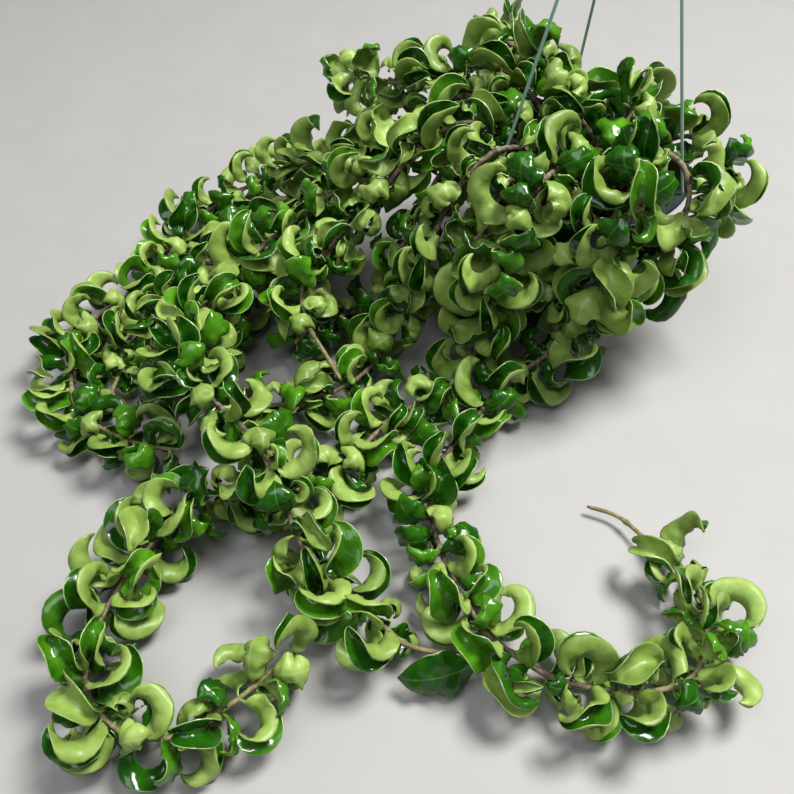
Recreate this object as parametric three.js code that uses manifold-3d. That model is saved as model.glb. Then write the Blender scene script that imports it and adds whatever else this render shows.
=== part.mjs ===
// A rope hoya in a plastic hanging pot. Millimetres, +Z up, the middle of the pot's base at the origin.
// The photograph was taken from the -Y side; the vines trail over the rim and lie along the surface.
import * as THREE from "three";
import { mergeVertices } from "three/addons/utils/BufferGeometryUtils.js";
import Module from "manifold-3d";

const wasm = await Module();
wasm.setup();
const { Manifold, Mesh } = wasm;

// Driving dimensions
const GAP = 0.3;
const POT = { height: 130, rimRadius: 88, topRadius: 81, baseRadius: 61, wall: 1.8, flange: 3,
  floor: 2.4, soft: 0.8 };
const SOIL_TOP = 117;
const STEM_FOOT = { z: 95, straight: 26 };
const WIRE = { radius: 1.2, circle: 84.5, angles: [208.4, 88.4, 328.4], collar: 433, inCollar: 2.9 };
// The leaves leave each wire open to view from the front between these heights.
const SEEN = { from: [-148, -571, 489], above: [168, 250, 136], below: 240, reach: 88, step: 8 };
const HOOK = { collarRadius: 5, collarHeight: 16, radius: 1.5, bend: 14, top: 495 };
const STEM = { thick: 2.9, thin: 1.9, joint: 2.3, pitch: 24.5, firstJoint: 40, firstOnShoot: 20 };
const SHOOT_FOOT = 0.35; // a shoot starts this much thinner, inside the stem it grows from
const LEAF = { length: 37, stalk: 4.5, steepest: 140, thickest: 5 };
const DRAIN = { count: 6, radius: 4, circle: 42 };

// The vines. root: where the stem stands in the soil. line: the points its stem runs through.
// leaf: how large the first and the last leaves are. bare: length of bare stem at the tip.
// shoots: side shoots, which start on a point of the main stem.
// lone: a single leaf on the bare stem, at one joint and with its own shape.
const VINES = {
  top_back: {
    root: [4, 34], leaf: [1.2, 1.15], bare: 0,
    line: [[2, 40, 142], [-14, 51, 167], [-37, 62, 186], [-57, 80, 190], [-52, 103, 177],
      [-32, 117, 154], [-16, 122, 122]],
  },
  right_side: {
    root: [46, 2], leaf: [1.05, 1.05], bare: 0,
    line: [[48, 1, 140], [58, -11, 153], [70, -12, 160], [86, -15, 160], [98, -23, 151], [100, -40, 136],
      [100, -45, 116]],
  },
  front_right: {
    root: [30, -22], leaf: [1.2, 0.88], bare: 64,
    line: [[30, -24, 140], [30, -46, 166], [24, -78, 176], [14, -108, 160], [3, -121, 118],
      [-5, -122, 72], [-25, -124, 40], [-54, -142, 29], [-82, -173, 27], [-106, -207, 27],
      [-123, -239, 27], [-125, -268, 27], [-119, -298, 27], [-108, -326, 27], [-95, -351, 26],
      [-78, -368, 26], [-54, -383, 26], [-23, -390, 26], [4, -390, 26], [26, -382, 26], [39, -363, 26],
      [45, -339, 26], [41, -314, 24], [33, -296, 18], [22, -278, 12], [8, -259, 9], [-12, -250, 8]],
    shoots: [{
      leaf: [1.22, 1.1], bare: 0,
      line: [[30, -46, 166], [46, -54, 172], [58, -68, 168], [62, -84, 150], [54, -92, 119],
        [38, -89, 90]],
    }],
  },
  right_back: {
    root: [34, 28], leaf: [1.02, 0.98], bare: 0,
    line: [[36, 30, 140], [43, 40, 144], [53, 56, 143], [64, 75, 129], [76, 92, 106], [84, 106, 78]],
  },
  top_left: {
    root: [-16, 26], leaf: [1.15, 0.95], bare: 0,
    line: [[-20, 28, 140], [-36, 36, 164], [-60, 46, 182], [-88, 54, 184], [-114, 47, 175],
      [-145, 65, 164], [-175, 87, 158], [-193, 111, 149]],
  },
  middle: {
    root: [-44, -8], leaf: [1.1, 0.92], bare: 96,
    lone: { joint: 29, heading: 75, shape: { length: 50, half: 17, lean: -50, bend: 20, more: 50,
      fold: -18, cup: 60, twist: 0, roll: 40, wave: 24, phase: 0 } },
    line: [[-48, -9, 140], [-66, -12, 162], [-94, -16, 174], [-124, -18, 162], [-158, -14, 140],
      [-192, -14, 116], [-226, -26, 96], [-258, -48, 82], [-284, -80, 74], [-298, -115, 72],
      [-302, -150, 74], [-292, -185, 80], [-272, -214, 82], [-248, -238, 80], [-228, -264, 66],
      [-214, -294, 46], [-201, -312, 32], [-181, -329, 28], [-158, -349, 27], [-142, -362, 26],
      [-122, -366, 23], [-101, -368, 18], [-78, -373, 13], [-58, -378, 9]],
    shoots: [{
      leaf: [1.0, 0.8], bare: 42,
      line: [[-124, -18, 162], [-148, -36, 144], [-174, -54, 120], [-200, -72, 100], [-220, -98, 86],
        [-216, -128, 74], [-202, -148, 60], [-190, -164, 48]],
    }, {
      leaf: [0.9, 0.85], bare: 0,
      line: [[-258, -48, 82], [-266, -36, 58], [-282, -30, 36], [-290, -54, 27], [-288, -86, 27],
        [-302, -116, 27], [-324, -140, 27], [-352, -148, 27]],
    }],
  },
  left_edge: {
    root: [-34, 8], leaf: [1.1, 0.9], bare: 0,
    line: [[-38, 12, 138], [-58, 20, 160], [-88, 28, 172], [-122, 36, 156], [-156, 36, 128],
      [-189, 48, 104], [-220, 72, 84], [-253, 100, 62], [-283, 104, 44], [-311, 97, 32],
      [-333, 74, 28], [-350, 44, 27], [-361, 10, 27], [-368, -24, 27], [-384, -48, 27], [-400, -68, 27],
      [-412, -100, 27], [-405, -140, 27], [-395, -169, 27], [-381, -185, 27], [-358, -199, 27],
      [-331, -210, 27], [-305, -214, 27]],
    shoots: [{
      leaf: [0.95, 0.85], bare: 0,
      line: [[-189, 48, 104], [-212, 54, 78], [-236, 46, 50], [-262, 40, 30], [-290, 42, 27],
        [-314, 24, 27], [-322, -10, 27], [-334, -46, 27], [-354, -74, 27], [-372, -98, 27],
        [-368, -129, 27], [-369, -159, 27]],
    }, {
      leaf: [0.95, 0.85], bare: 0,
      line: [[-156, 36, 128], [-168, 30, 104], [-186, 18, 78], [-208, 10, 50], [-236, 2, 30],
        [-262, -4, 27]],
    }],
  },
  front_left: {
    root: [-10, -36], leaf: [1.15, 0.92], bare: 0,
    line: [[-14, -42, 140], [-28, -64, 165], [-48, -88, 168], [-68, -108, 140], [-78, -116, 98],
      [-82, -120, 58], [-92, -134, 32], [-112, -154, 27], [-136, -172, 27], [-160, -194, 27],
      [-180, -220, 28], [-204, -240, 29], [-232, -250, 33], [-262, -255, 36], [-286, -261, 31],
      [-301, -277, 28], [-313, -298, 27], [-325, -325, 27], [-333, -357, 27], [-330, -387, 26],
      [-311, -409, 26], [-292, -417, 26], [-272, -416, 26], [-255, -406, 26], [-239, -394, 26],
      [-224, -380, 26], [-209, -367, 26]],
    shoots: [{
      leaf: [1.2, 1.1], bare: 0,
      line: [[-28, -64, 165], [-16, -80, 168], [-12, -96, 152], [-18, -110, 126], [-26, -114, 100],
        [-34, -112, 78]],
    }, {
      leaf: [1.1, 1.0], bare: 0,
      line: [[-28, -64, 165], [-48, -66, 174], [-68, -76, 162], [-82, -86, 136], [-90, -94, 108],
        [-92, -96, 84]],
    }],
  },
  left_hang: {
    root: [-28, -18], leaf: [1.1, 0.84], bare: 0,
    line: [[-32, -23, 140], [-50, -38, 164], [-76, -55, 174], [-100, -66, 156], [-118, -77, 123],
      [-127, -84, 86], [-140, -94, 54], [-156, -110, 33], [-172, -134, 27], [-196, -156, 27],
      [-228, -168, 27], [-262, -174, 27], [-292, -186, 27]],
    shoots: [{
      leaf: [1.1, 0.95], bare: 0,
      line: [[-76, -55, 174], [-94, -44, 168], [-113, -40, 148], [-128, -46, 122], [-140, -56, 98],
        [-150, -62, 76]],
    }, {
      leaf: [1.0, 0.85], bare: 0,
      line: [[-127, -84, 86], [-146, -76, 62], [-166, -68, 38], [-192, -68, 27], [-216, -80, 27],
        [-232, -104, 27]],
    }],
  },
  crown: {
    root: [10, 4], leaf: [1.05, 1.0], bare: 0,
    line: [[10, 4, 140], [2, 0, 158], [-12, 6, 174], [-20, 24, 184]],
    shoots: [{
      leaf: [1.1, 1.0], bare: 0,
      line: [[10, 4, 140], [24, 6, 156], [30, 2, 174], [22, -10, 186]],
    }],
  },
};

// How far a leaf keeps from the other vines, from its own vine, from the wires and from the pot.
const CLEAR = { others: 6.5, own: 4.1, stem: 5.5, stalk: 3, floor: 0.6, cell: 10,
  rim: 8, wall: 3.5, wallInside: 6, soil: 2.5 };

const MATERIALS = {
  pot: new THREE.MeshStandardMaterial({ color: 0x1d3b33, roughness: 0.45 }),
  soil: new THREE.MeshStandardMaterial({ color: 0x3a2a1e, roughness: 0.95 }),
  wire: new THREE.MeshStandardMaterial({ color: 0x6e9187, roughness: 0.4 }),
  leaf: new THREE.MeshStandardMaterial({ color: 0x4f8a2e, roughness: 0.35, flatShading: true }),
};

const rad = (degrees) => (degrees * Math.PI) / 180;

// The same row of numbers between 0 and 1 every time.
function seeded(seed) {
  let state = seed >>> 0;
  return () => {
    state = (Math.imul(state, 1664525) + 1013904223) >>> 0;
    return state / 4294967296;
  };
}

// A closed body from corner points and triangles; turned the right way out if needed.
function solid(points, triangles) {
  const make = (tris) => new Manifold(new Mesh({
    numProp: 3,
    vertProperties: Float32Array.from(points),
    triVerts: Uint32Array.from(tris),
  }));
  const body = make(triangles);
  if (body.volume() > 0) return body;
  const flipped = [];
  for (let i = 0; i < triangles.length; i += 3) {
    flipped.push(triangles[i], triangles[i + 2], triangles[i + 1]);
  }
  return make(flipped);
}

function solidFromGeometry(geometry) {
  geometry.deleteAttribute("normal");
  geometry.deleteAttribute("uv");
  const merged = mergeVertices(geometry, 1e-4);
  const index = merged.index.array;
  const triangles = [];
  for (let i = 0; i < index.length; i += 3) {
    const [a, b, c] = [index[i], index[i + 1], index[i + 2]];
    if (a !== b && b !== c && c !== a) triangles.push(a, b, c);
  }
  return solid(merged.attributes.position.array, triangles);
}

// A body turned round the Z axis from a closed outline of [radius, height] points.
function turned(outline, segments) {
  const ring = [...outline, outline[0]].map(([r, z]) => new THREE.Vector2(r, z));
  const geometry = new THREE.LatheGeometry(ring, segments);
  geometry.rotateX(Math.PI / 2);
  return solidFromGeometry(geometry);
}

function upright(radius, z0, z1, x, y, segments = 12) {
  const geometry = new THREE.CylinderGeometry(radius, radius, z1 - z0, segments);
  geometry.rotateX(Math.PI / 2);
  geometry.translate(x, y, (z0 + z1) / 2);
  return solidFromGeometry(geometry);
}

// Directions across a path, carried from point to point without turning about it.
function frames(points) {
  const tangents = points.map((_, i) => {
    const a = points[Math.max(i - 1, 0)];
    const b = points[Math.min(i + 1, points.length - 1)];
    return b.clone().sub(a).normalize();
  });
  const first = Math.abs(tangents[0].x) < 0.9 ? new THREE.Vector3(1, 0, 0) : new THREE.Vector3(0, 1, 0);
  let side = first.clone().addScaledVector(tangents[0], -first.dot(tangents[0])).normalize();
  return tangents.map((tangent) => {
    side = side.clone().addScaledVector(tangent, -side.dot(tangent)).normalize();
    return { tangent, side, other: tangent.clone().cross(side) };
  });
}

// A round bar along a path, with its own radius at each point.
function bar(points, radii, sides) {
  const along = frames(points);
  const corners = [];
  const triangles = [];
  points.forEach((p, i) => {
    for (let k = 0; k < sides; k += 1) {
      const angle = (2 * Math.PI * k) / sides;
      const q = p.clone()
        .addScaledVector(along[i].side, radii[i] * Math.cos(angle))
        .addScaledVector(along[i].other, radii[i] * Math.sin(angle));
      corners.push(q.x, q.y, q.z);
    }
  });
  for (let i = 0; i + 1 < points.length; i += 1) {
    for (let k = 0; k < sides; k += 1) {
      const [a, b] = [i * sides + k, i * sides + ((k + 1) % sides)];
      triangles.push(a, b, b + sides, a, b + sides, a + sides);
    }
  }
  const last = (points.length - 1) * sides;
  for (let k = 1; k + 1 < sides; k += 1) {
    triangles.push(0, k + 1, k, last, last + k, last + k + 1);
  }
  return solid(corners, triangles);
}

// The line of a stem: a smooth curve through its points, measured along its length.
function stemLine(points) {
  const knots = points.map((p) => new THREE.Vector3(...p));
  const curve = new THREE.CatmullRomCurve3(knots, false, "catmullrom", 0.5);
  const steps = (points.length - 1) * 12;
  const fine = Array.from({ length: steps + 1 }, (_, i) => curve.getPoint(i / steps));
  const lengths = [0];
  for (let i = 1; i <= steps; i += 1) lengths.push(lengths[i - 1] + fine[i].distanceTo(fine[i - 1]));
  const along = frames(fine);
  const total = lengths[steps];
  const at = (s) => {
    let i = 1;
    while (i < steps && lengths[i] < s) i += 1;
    const t = (s - lengths[i - 1]) / (lengths[i] - lengths[i - 1]);
    return {
      point: fine[i - 1].clone().lerp(fine[i], t),
      tangent: along[i - 1].tangent.clone().lerp(along[i].tangent, t).normalize(),
      side: along[i - 1].side.clone().lerp(along[i].side, t).normalize(),
    };
  };
  return { total, at };
}

// One leaf: its size, how it curls along its midrib, how it folds across it, and its twist.
// r holds ten numbers between 0 and 1.
function leafShape(r, size) {
  const length = LEAF.length * size * (0.9 + 0.3 * r[0]);
  const shape = { length, half: length * (0.35 + 0.08 * r[1]) };
  if (r[2] < 0.42) {
    // pale outside: folded up along the rib, and bent back
    Object.assign(shape, { lean: 50 - 40 * r[3], bend: 50 + 50 * r[4], more: 80 + 80 * r[5],
      fold: -26, cup: -(50 + 45 * r[6]) });
  } else if (r[2] < 0.58) {
    // pale outside: rolled forward over its upper face
    Object.assign(shape, { lean: -20 + 35 * r[3], bend: -(60 + 50 * r[4]), more: -(90 + 80 * r[5]),
      fold: -6, cup: -(60 + 40 * r[6]) });
  } else if (r[2] < 0.88) {
    // dark outside: rolled back, each half puffed up beside the groove of the rib
    Object.assign(shape, { lean: 25 + 40 * r[3], bend: 40 + 60 * r[4], more: 80 + 80 * r[5],
      fold: -28, cup: 95 + 45 * r[6] });
  } else {
    // dark outside: folded down along the rib, and bent forward
    Object.assign(shape, { lean: -20 + 40 * r[3], bend: -(50 + 60 * r[4]), more: -(70 + 70 * r[5]),
      fold: 26, cup: 50 + 45 * r[6] });
  }
  Object.assign(shape, { twist: (r[7] - 0.5) * 90, roll: (r[8] - 0.5) * 60, wave: 24 + 26 * r[9],
    phase: 360 * r[9] });
  return shape;
}

// Half the width of the blade at u, from its stalk (0) to its tip (1).
function halfWidth(shape, u) {
  return shape.half * Math.max(Math.sin(Math.PI * u ** 0.86), 0) ** (0.58 + 0.3 * u);
}

// The blade as a surface: gives the point at u along and s across (-1 to 1), with its upward direction.
function blade(shape, root, outward, tangent) {
  const lean = rad(shape.lean);
  const ahead = outward.clone().multiplyScalar(Math.cos(lean)).addScaledVector(tangent, Math.sin(lean));
  const up = tangent.clone().multiplyScalar(Math.cos(lean)).addScaledVector(outward, -Math.sin(lean));
  up.applyAxisAngle(ahead, rad(shape.roll));
  const across = ahead.clone().cross(up);
  const steps = 24;
  const rib = [[LEAF.stalk, 0]];
  const turn = (u) => rad(shape.bend) * u + rad(shape.more) * u * u;
  for (let i = 0; i < steps; i += 1) {
    const angle = turn((i + 0.5) / steps);
    const [y, z] = rib[i];
    rib.push([y + (shape.length / steps) * Math.cos(angle), z - (shape.length / steps) * Math.sin(angle)]);
  }
  return (u, s) => {
    const f = Math.min(u * steps, steps - 1e-6);
    const i = Math.floor(f);
    const y = rib[i][0] + (rib[i + 1][0] - rib[i][0]) * (f - i);
    const z = rib[i][1] + (rib[i + 1][1] - rib[i][1]) * (f - i);
    const angle = turn(u);
    const forward = ahead.clone().multiplyScalar(Math.cos(angle)).addScaledVector(up, -Math.sin(angle));
    const normal = up.clone().multiplyScalar(Math.cos(angle)).addScaledVector(ahead, Math.sin(angle));
    const twist = rad(shape.twist) * u;
    const wide = across.clone().multiplyScalar(Math.cos(twist)).addScaledVector(normal, Math.sin(twist));
    const top = wide.clone().cross(forward);
    const fold = rad(shape.fold);
    const wave = rad(shape.wave) * Math.sin(rad(shape.phase) + 9.5 * u + (s < 0 ? 2.1 : 0)) * Math.abs(s);
    const steepest = rad(LEAF.steepest);
    const edge = Math.min(Math.max(fold + rad(shape.cup) + wave, -steepest), steepest);
    const cup = edge - fold;
    const w = halfWidth(shape, u);
    const q = Math.abs(s);
    const c = Math.abs(cup) < 0.02 ? 0.02 : cup;
    const x = (w * (Math.sin(fold + c * q) - Math.sin(fold))) / c;
    const h = (w * (Math.cos(fold) - Math.cos(fold + c * q))) / c;
    const point = root.clone().addScaledVector(ahead, y).addScaledVector(up, z)
      .addScaledVector(wide, Math.sign(s) * x).addScaledVector(top, -h);
    return { point, top };
  };
}

// Where the cross rows of a leaf body lie, each with its thickness.
const ROWS = [[0.27, 2.2], [0.55, 2.2], [0.8, 1.8]];

function leafRows(at) {
  return ROWS.map(([u, thin]) => {
    const [left, middle, right] = [-1, 0, 1].map((s) => at(u, s));
    // where the two halves fold close together, the body is thicker along the fold
    const slant = left.point.distanceTo(middle.point) + right.point.distanceTo(middle.point);
    const thick = Math.min((thin * slant) / left.point.distanceTo(right.point), LEAF.thickest);
    return { left: left.point, middle: middle.point, right: right.point, up: middle.top, thick };
  });
}

// The corners of a leaf body, row by row: underside, left edge, upper side, right edge; then its tip.
function leafCorners(rows, tip) {
  const corners = [];
  for (const { left, middle, right, up, thick } of rows) {
    corners.push(middle.clone().addScaledVector(up, -thick / 2), left,
      middle.clone().addScaledVector(up, thick / 2), right);
  }
  return [...corners, tip];
}

// Whether the faces on one side between two rows do better with their slant from the rib to the next
// edge than from the edge to the next rib: so it is where a tight curl turns those inside out.
function slantsOut(row, next, side) {
  const [edge, nextEdge] = [row[side], next[side]];
  const least = (faces) => Math.min(...faces.flatMap(([a, b, c, ...ups]) => {
    const normal = b.clone().sub(a).cross(c.clone().sub(a)).normalize();
    return ups.map((up) => (side === "left" ? -1 : 1) * normal.dot(up));
  }));
  const inward = least([[row.middle, edge, next.middle, row.up, next.up],
    [edge, nextEdge, next.middle, next.up]]);
  const outward = least([[row.middle, edge, nextEdge, row.up],
    [row.middle, nextEdge, next.middle, row.up, next.up]]);
  return inward < 0.1 && outward > inward;
}

// Points spread over a leaf, close enough together to tell whether it would touch something.
function leafProbes(leaf, root, tip) {
  const rows = [[root, root, root]];
  for (const { left, middle, right, up, thick } of leaf) {
    rows.push([left, middle.clone().addScaledVector(up, -thick / 2), right]);
  }
  rows.push([tip, tip, tip]);
  const probes = [];
  for (let row = 0; row + 1 < rows.length; row += 1) {
    for (const t of row === 0 ? [0.5, 0.75, 1] : [1 / 3, 2 / 3, 1]) {
      const [left, middle, right] = rows[row].map((p, k) => p.clone().lerp(rows[row + 1][k], t));
      probes.push(middle, left, right);
      if (t < 1 || row + 2 < rows.length) {
        probes.push(left.clone().lerp(middle, 0.5), right.clone().lerp(middle, 0.5));
      }
    }
  }
  return probes;
}

// Points already taken, kept in small boxes of space.
class Taken {
  constructor() {
    this.boxes = new Map();
  }

  key(i, j, k) {
    return ((i + 512) * 1024 + (j + 512)) * 1024 + (k + 512);
  }

  add(p, node, kind) {
    const [i, j, k] = [p.x, p.y, p.z].map((v) => Math.floor(v / CLEAR.cell));
    const key = this.key(i, j, k);
    if (!this.boxes.has(key)) this.boxes.set(key, []);
    this.boxes.get(key).push([p.x, p.y, p.z, node, kind]);
  }

  free(p, node) {
    const [i, j, k] = [p.x, p.y, p.z].map((v) => Math.floor(v / CLEAR.cell));
    for (let a = i - 1; a <= i + 1; a += 1) {
      for (let b = j - 1; b <= j + 1; b += 1) {
        for (let c = k - 1; c <= k + 1; c += 1) {
          for (const [x, y, z, owner, kind] of this.boxes.get(this.key(a, b, c)) || []) {
            let reach = CLEAR.others;
            if (owner === node) reach = kind === "stem" ? CLEAR.stalk : CLEAR.own;
            else if (kind === "stem") reach = CLEAR.stem;
            if ((p.x - x) ** 2 + (p.y - y) ** 2 + (p.z - z) ** 2 < reach * reach) return false;
          }
        }
      }
    }
    return true;
  }
}

// Whether a point is clear of the surface below, the pot and the soil.
function clearOfPot(p) {
  if (p.z < CLEAR.floor) return false;
  const r = Math.hypot(p.x, p.y);
  if (p.z > POT.height + CLEAR.rim / 2) return true;
  const rimMiddle = { r: (POT.topRadius + POT.rimRadius) / 2, z: POT.height - POT.flange / 2 };
  if (Math.hypot(r - rimMiddle.r, p.z - rimMiddle.z) < CLEAR.rim) return false;
  const wall = POT.baseRadius + ((POT.topRadius - POT.baseRadius) * p.z) / POT.height;
  const underRim = p.z < POT.height - CLEAR.rim;
  if (r > wall + CLEAR.wall && (underRim || r > POT.rimRadius + CLEAR.wall)) return true;
  return r < wall - CLEAR.wallInside && p.z > SOIL_TOP + CLEAR.soil;
}

// The line of one wire: from its small hook under the flange, up through the flange and into the collar.
function wirePath(angleDegrees) {
  const angle = rad(angleDegrees);
  const place = (r, z, shift = 0) => new THREE.Vector3(
    r * Math.cos(angle) - shift * Math.sin(angle), r * Math.sin(angle) + shift * Math.cos(angle), z);
  const rim = POT.height;
  return [place(WIRE.circle, rim - 5, 7.5), place(WIRE.circle, rim - 8, 6.5),
    place(WIRE.circle, rim - 9.5, 4), place(WIRE.circle, rim - 8.5, 1.2),
    place(WIRE.circle, rim - 6, 0), place(WIRE.circle, rim + 1, 0),
    place(WIRE.circle - 1.4, rim + 6), place(WIRE.inCollar + 0.7, WIRE.collar - 7),
    place(WIRE.inCollar, WIRE.collar - 3), place(WIRE.inCollar, WIRE.collar + 5)];
}

// Every vine's stem lines, its joints (places where a pair of leaves grows) and the leaves there.
function placeLeaves() {
  const taken = new Taken();
  const vines = Object.entries(VINES).map(([name, vine], node) => {
    const [x, y] = vine.root;
    const foot = [0, 0.5, 1].map((part) => [x, y, STEM_FOOT.z + part * STEM_FOOT.straight]);
    const main = [...foot, ...vine.line];
    const stems = [{ ...vine, line: main, first: STEM.firstJoint, rooted: true },
      ...(vine.shoots || []).map((shoot) => ({ ...shoot, first: STEM.firstOnShoot, rooted: false }))];
    for (const stem of stems) {
      stem.course = stemLine(stem.line);
      for (let s = 0; s < stem.course.total; s += 4) {
        const { point } = stem.course.at(s);
        const inSoil = point.z < SOIL_TOP - 4 && Math.hypot(point.x, point.y) < POT.rimRadius;
        if (!inSoil) taken.add(point, node, "stem");
      }
    }
    return { name, node, stems };
  });
  WIRE.angles.forEach((degrees, which) => {
    const path = wirePath(degrees);
    const [low, high] = [path[5], path[7]];
    for (let z = low.z; z < 330; z += 4) {
      const onWire = low.clone().lerp(high, (z - low.z) / (high.z - low.z));
      taken.add(onWire, -1, "stem");
      const ahead = new THREE.Vector3(...SEEN.from).sub(onWire).normalize();
      const reach = z > SEEN.above[which] && z < SEEN.below ? SEEN.reach : 0;
      for (let out = SEEN.step; out < reach; out += SEEN.step) {
        taken.add(onWire.clone().addScaledVector(ahead, out), -1, "stem");
      }
    }
  });
  const grow = (vine, place, heading, shapeAt) => {
    const other = place.tangent.clone().cross(place.side);
    for (const scale of [1, 0.88, 0.76, 0.64, 0.52]) {
      const shape = shapeAt(scale);
      for (const facet of heading.facets) {
        if (heading.used.has(facet)) continue;
        const angle = rad(heading.angle + 90 * facet);
        const outward = place.side.clone().multiplyScalar(Math.cos(angle));
        outward.addScaledVector(other, Math.sin(angle));
        const at = blade(shape, place.point, outward, place.tangent);
        const [rows, tip] = [leafRows(at), at(1, 0).point];
        const probes = leafProbes(rows, place.point, tip);
        if (probes.every((p) => clearOfPot(p) && taken.free(p, vine.node))) {
          probes.forEach((p) => taken.add(p, vine.node, "leaf"));
          heading.used.add(facet);
          const slants = rows.slice(1).map((next, k) => (
            ["left", "right"].map((side) => slantsOut(rows[k], next, side))));
          return { facet, corners: leafCorners(rows, tip), slants: [[false, false], ...slants] };
        }
      }
    }
    return null;
  };
  for (const vine of vines) {
    vine.stems.forEach((stem, which) => {
      const random = seeded(7919 * (vine.node + 1) + 104729 * which);
      const { total, at } = stem.course;
      const end = total - stem.bare;
      stem.joints = [];
      for (let i = 0, s = stem.first; s < total - 6; i += 1, s += STEM.pitch) {
        const draws = Array.from({ length: 21 }, random);
        const place = at(s);
        const size = stem.leaf[0] + ((stem.leaf[1] - stem.leaf[0]) * s) / total;
        const used = new Set();
        const angle = 90 * (i % 2) + 50 * (draws[20] - 0.5);
        const joint = { s, angle, leaves: [] };
        const shapeOf = (r) => (scale) => leafShape(r, size * scale);
        if (s < end - 4) {
          const pair = [grow(vine, place, { angle, used, facets: [0, 1, 3, 2] }, shapeOf(draws.slice(0, 10))),
            grow(vine, place, { angle, used, facets: [2, 3, 1, 0] }, shapeOf(draws.slice(10, 20)))];
          joint.leaves = pair.filter(Boolean);
        } else if (stem.lone && stem.lone.joint === i) {
          joint.angle = stem.lone.heading;
          const one = grow(vine, place, { angle: joint.angle, used, facets: [0] }, () => stem.lone.shape);
          joint.leaves = [one].filter(Boolean);
        }
        stem.joints.push(joint);
      }
    });
  }
  return vines;
}

// A stem with its leaves as one skin: a square bar with a short joint at each pair of leaves,
// where the leaves grow straight out of the joint's faces.
function stemSolid(stem) {
  const { total, at } = stem.course;
  const points = [];
  const triangles = [];
  const addPoint = (p) => points.push(p.x, p.y, p.z) / 3 - 1;
  const ring = (s, angle, lift = 0) => {
    const { point, tangent, side } = at(s);
    const other = tangent.clone().cross(side);
    const start = s === 0 && !stem.rooted ? SHOOT_FOOT : 1;
    const radius = start * (STEM.thick + (STEM.thin - STEM.thick) * (s / total));
    return [0, 1, 2, 3].map((k) => {
      const turn = rad(angle - 45 + 90 * k);
      const corner = point.clone().addScaledVector(side, radius * Math.cos(turn));
      corner.addScaledVector(other, radius * Math.sin(turn));
      corner.z += lift;
      return addPoint(corner);
    });
  };
  const join = (a, b, k) => {
    const next = (k + 1) % 4;
    triangles.push(a[k], a[next], b[next], a[k], b[next], b[k]);
  };
  let angle = stem.joints[0].angle;
  let last = ring(0, angle, stem.rooted ? GAP : 0);
  triangles.push(last[0], last[2], last[1], last[0], last[3], last[2]);
  const connect = (s) => {
    const next = ring(s, angle);
    for (let k = 0; k < 4; k += 1) join(last, next, k);
    last = next;
  };
  if (stem.rooted) connect(STEM_FOOT.straight - 2);
  for (const joint of stem.joints) {
    // a square looks the same a quarter turn on, so the bar needn't twist to follow the pairs
    const quarter = Math.round((joint.angle - angle) / 90);
    angle = joint.angle - 90 * quarter;
    connect(joint.s - STEM.joint);
    const next = ring(joint.s + STEM.joint, angle);
    const faces = new Map(joint.leaves.map((leaf) => [(((leaf.facet + quarter) % 4) + 4) % 4, leaf]));
    for (let k = 0; k < 4; k += 1) {
      const leaf = faces.get(k);
      if (!leaf) {
        join(last, next, k);
        continue;
      }
      const hole = [last[k], last[(k + 1) % 4], next[(k + 1) % 4], next[k]];
      const corners = leaf.corners.map(addPoint);
      for (let i = 0; i < 4; i += 1) {
        const j = (i + 1) % 4;
        const rows = [hole, ...ROWS.map((_, row) => corners.slice(4 * row, 4 * row + 4))];
        for (let row = 0; row < ROWS.length; row += 1) {
          const [a, b, c, d] = [rows[row][i], rows[row][j], rows[row + 1][i], rows[row + 1][j]];
          // the same slant on both faces, so that the blade keeps its thickness
          const even = leaf.slants[row][i < 2 ? 0 : 1] ? 1 : 0;
          if (i % 2 === even) triangles.push(a, b, c, b, d, c);
          else triangles.push(a, b, d, a, d, c);
        }
        const end = 4 * (ROWS.length - 1);
        triangles.push(corners[end + i], corners[end + j], corners[corners.length - 1]);
      }
    }
    last = next;
  }
  connect(total);
  triangles.push(last[0], last[1], last[2], last[0], last[2], last[3]);
  return solid(points, triangles);
}

function addMesh(parent, name, body, material) {
  const mesh = body.getMesh();
  const geometry = new THREE.BufferGeometry();
  geometry.setAttribute("position", new THREE.BufferAttribute(Float32Array.from(mesh.vertProperties), 3));
  geometry.setIndex(new THREE.BufferAttribute(Uint32Array.from(mesh.triVerts), 1));
  geometry.computeVertexNormals();
  const object = new THREE.Mesh(geometry, material);
  object.name = name;
  parent.add(object);
}

const group = new THREE.Group();
group.name = "potted_hoya";

// The pot: a thin tapered wall, a flat flange round the rim, and drain holes in the base.
const { height: H, rimRadius, topRadius, baseRadius, wall, flange, floor, soft } = POT;
let pot = turned([
  [0, 0], [baseRadius - 2 * soft, 0], [baseRadius, 2 * soft], [topRadius, H - flange],
  [rimRadius, H - flange], [rimRadius, H - soft], [rimRadius - soft, H], [topRadius - wall, H],
  [baseRadius - wall, floor], [0, floor],
], 40);
for (let k = 0; k < DRAIN.count; k += 1) {
  const angle = rad((360 / DRAIN.count) * (k + 0.5));
  const [x, y] = [DRAIN.circle * Math.cos(angle), DRAIN.circle * Math.sin(angle)];
  pot = pot.subtract(upright(DRAIN.radius, -5, 10, x, y, 8));
}
for (const degrees of WIRE.angles) {
  const [x, y] = [WIRE.circle * Math.cos(rad(degrees)), WIRE.circle * Math.sin(rad(degrees))];
  pot = pot.subtract(upright(WIRE.radius + 0.5, H - 10, H + 5, x, y, 8));
}
addMesh(group, "pot", pot, MATERIALS.pot);

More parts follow.
